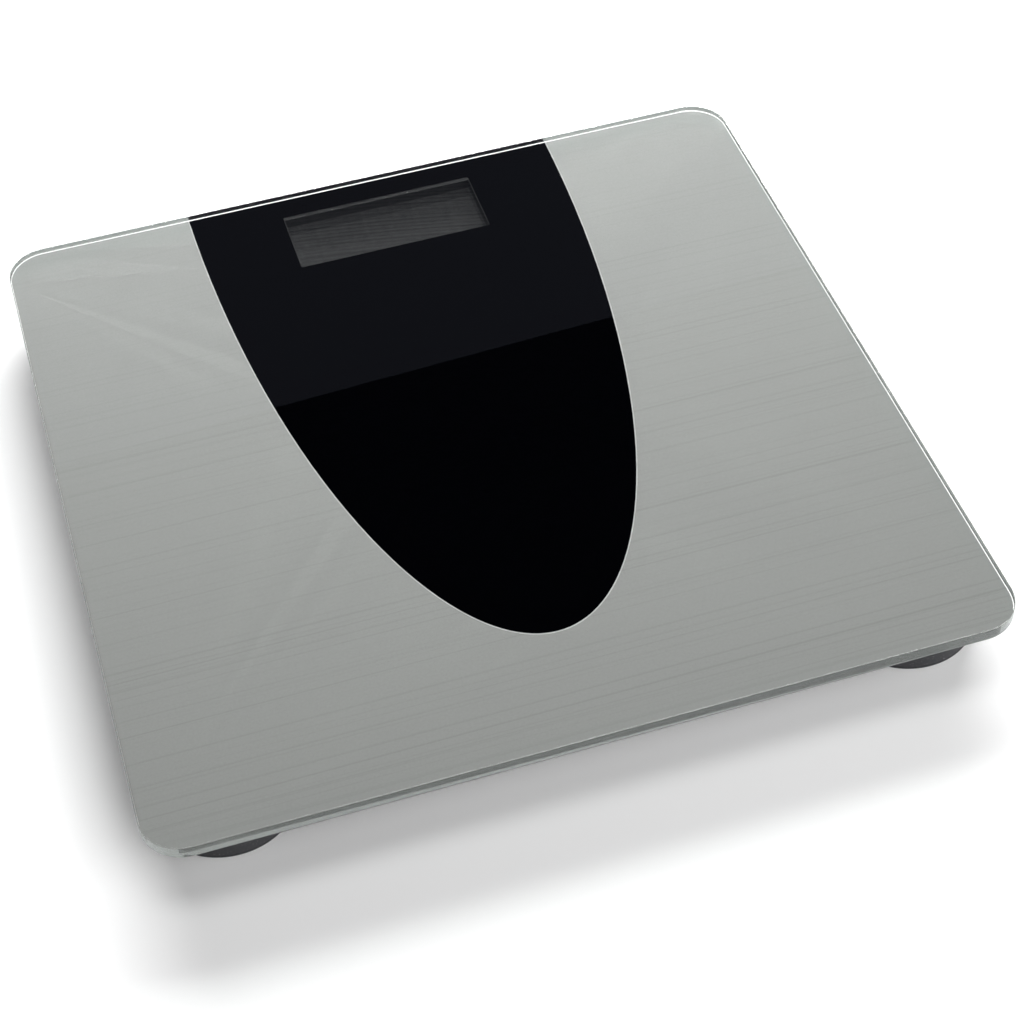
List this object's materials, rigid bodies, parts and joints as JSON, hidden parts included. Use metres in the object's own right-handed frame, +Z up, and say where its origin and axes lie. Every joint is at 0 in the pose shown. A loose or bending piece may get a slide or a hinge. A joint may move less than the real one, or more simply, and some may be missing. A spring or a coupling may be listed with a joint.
{
  "type": "digital bathroom scale",
  "caption": "Slim square bathroom scale with a glass platform, a dark tray on round load-cell feet and a display at the back.",
  "frame": {"origin": "on the floor under the middle of the platform", "axes": "+Z up out of the glass, +Y towards the display at the back, +X to the right of a user at the front"},
  "size_m": [0.3, 0.3, 0.0235],
  "materials": {
    "platform_glass": "clear, polished, arrised edges",
    "silver_film": "brushed silver print under the glass",
    "panel_line": "fine light printed line",
    "black_film": "black print under the glass",
    "window_tint": "smoked window film",
    "foam_tape": "dark foam tape",
    "tray_plastic": "fine textured dark grey",
    "foot_plastic": "fine speckled dark grey",
    "foot_rubber": "matte non-slip",
    "cushion_rubber": "soft grey silicone",
    "cell_steel": "stamped and plated",
    "gauge_film": "amber foil under clear silicone",
    "retainer_plastic": "natural white",
    "wire_sheath": "red, black and white sheaths",
    "screw_steel": "nickel plated",
    "board_laminate": "green solder mask",
    "chip_epoxy": "black epoxy",
    "component_ceramic": "ceramic chips",
    "solder": "bright solder",
    "polariser": "grey-green polariser",
    "lcd_glass": "clear display glass",
    "zebra_rubber": "striped silicone",
    "holder_plastic": "black",
    "battery_steel": "bright steel",
    "contact_metal": "plated spring metal",
    "door_plastic": "dark grey",
    "button_plastic": "light grey",
    "plunger_plastic": "black",
    "switch_metal": "stamped steel cover"
  },
  "bodies": {
    "base": {"base_tray": "tray_plastic", "battery": "battery_steel", "black_panel_film": "black_film", "board_components": "component_ceramic", "board_screws": "screw_steel", "bonding_tape": "foam_tape", "cell_cushion_front_left": "cushion_rubber", "cell_cushion_front_right": "cushion_rubber", "cell_cushion_rear_left": "cushion_rubber", "cell_cushion_rear_right": "cushion_rubber", "cell_retainer_front_left": "retainer_plastic", "cell_retainer_front_right": "retainer_plastic", "cell_retainer_rear_left": "retainer_plastic", "cell_retainer_rear_right": "retainer_plastic", "cell_wires_front_left": "wire_sheath", "cell_wires_front_right": "wire_sheath", "cell_wires_rear_left": "wire_sheath", "cell_wires_rear_right": "wire_sheath", "contact_negative": "contact_metal", "contact_positive": "contact_metal", "controller_chip": "chip_epoxy", "glass_platform": "platform_glass", "lcd_cell": "lcd_glass", "lcd_holder": "holder_plastic", "lcd_polariser": "polariser", "lcd_reflector": "polariser", "load_cell_front_left": "cell_steel", "load_cell_front_right": "cell_steel", "load_cell_rear_left": "cell_steel", "load_cell_rear_right": "cell_steel", "main_board": "board_laminate", "panel_line_film": "panel_line", "retainer_screws": "screw_steel", "silver_film": "silver_film", "strain_gauge_front_left": "gauge_film", "strain_gauge_front_right": "gauge_film", "strain_gauge_rear_left": "gauge_film", "strain_gauge_rear_right": "gauge_film", "unit_switch": "switch_metal", "window_film": "window_tint", "wire_terminals": "solder", "zebra_strip": "zebra_rubber"},
    "foot_front_left": {"foot_cup_front_left": "foot_plastic", "foot_pad_front_left": "foot_rubber"},
    "foot_front_right": {"foot_cup_front_right": "foot_plastic", "foot_pad_front_right": "foot_rubber"},
    "foot_rear_left": {"foot_cup_rear_left": "foot_plastic", "foot_pad_rear_left": "foot_rubber"},
    "foot_rear_right": {"foot_cup_rear_right": "foot_plastic", "foot_pad_rear_right": "foot_rubber"},
    "battery_door": {"battery_door": "door_plastic"},
    "unit_button": {"unit_button": "button_plastic", "switch_plunger": "plunger_plastic"}
  },
  "joints": [
    {"name": "foot_front_left_press", "type": "slide", "parent": "base", "child": "foot_front_left", "axis": [0, 0, 1], "range_m": [0, 0.0008], "stiffness_N_per_m": 5000, "springref_m": -0.002, "deforming": ["cell_cushion_front_left"]},
    {"name": "foot_front_right_press", "type": "slide", "parent": "base", "child": "foot_front_right", "axis": [0, 0, 1], "range_m": [0, 0.0008], "stiffness_N_per_m": 5000, "springref_m": -0.002, "deforming": ["cell_cushion_front_right"]},
    {"name": "foot_rear_left_press", "type": "slide", "parent": "base", "child": "foot_rear_left", "axis": [0, 0, 1], "range_m": [0, 0.0008], "stiffness_N_per_m": 5000, "springref_m": -0.002, "deforming": ["cell_cushion_rear_left"]},
    {"name": "foot_rear_right_press", "type": "slide", "parent": "base", "child": "foot_rear_right", "axis": [0, 0, 1], "range_m": [0, 0.0008], "stiffness_N_per_m": 5000, "springref_m": -0.002, "deforming": ["cell_cushion_rear_right"]},
    {"name": "battery_door_slide", "type": "slide", "parent": "base", "child": "battery_door", "axis": [0, -1, 0], "range_m": [0, 0.027]},
    {"name": "unit_button_press", "type": "slide", "parent": "base", "child": "unit_button", "axis": [0, 0, 1], "range_m": [0, 0.0005], "stiffness_N_per_m": 300, "springref_m": -0.001}
  ]
}
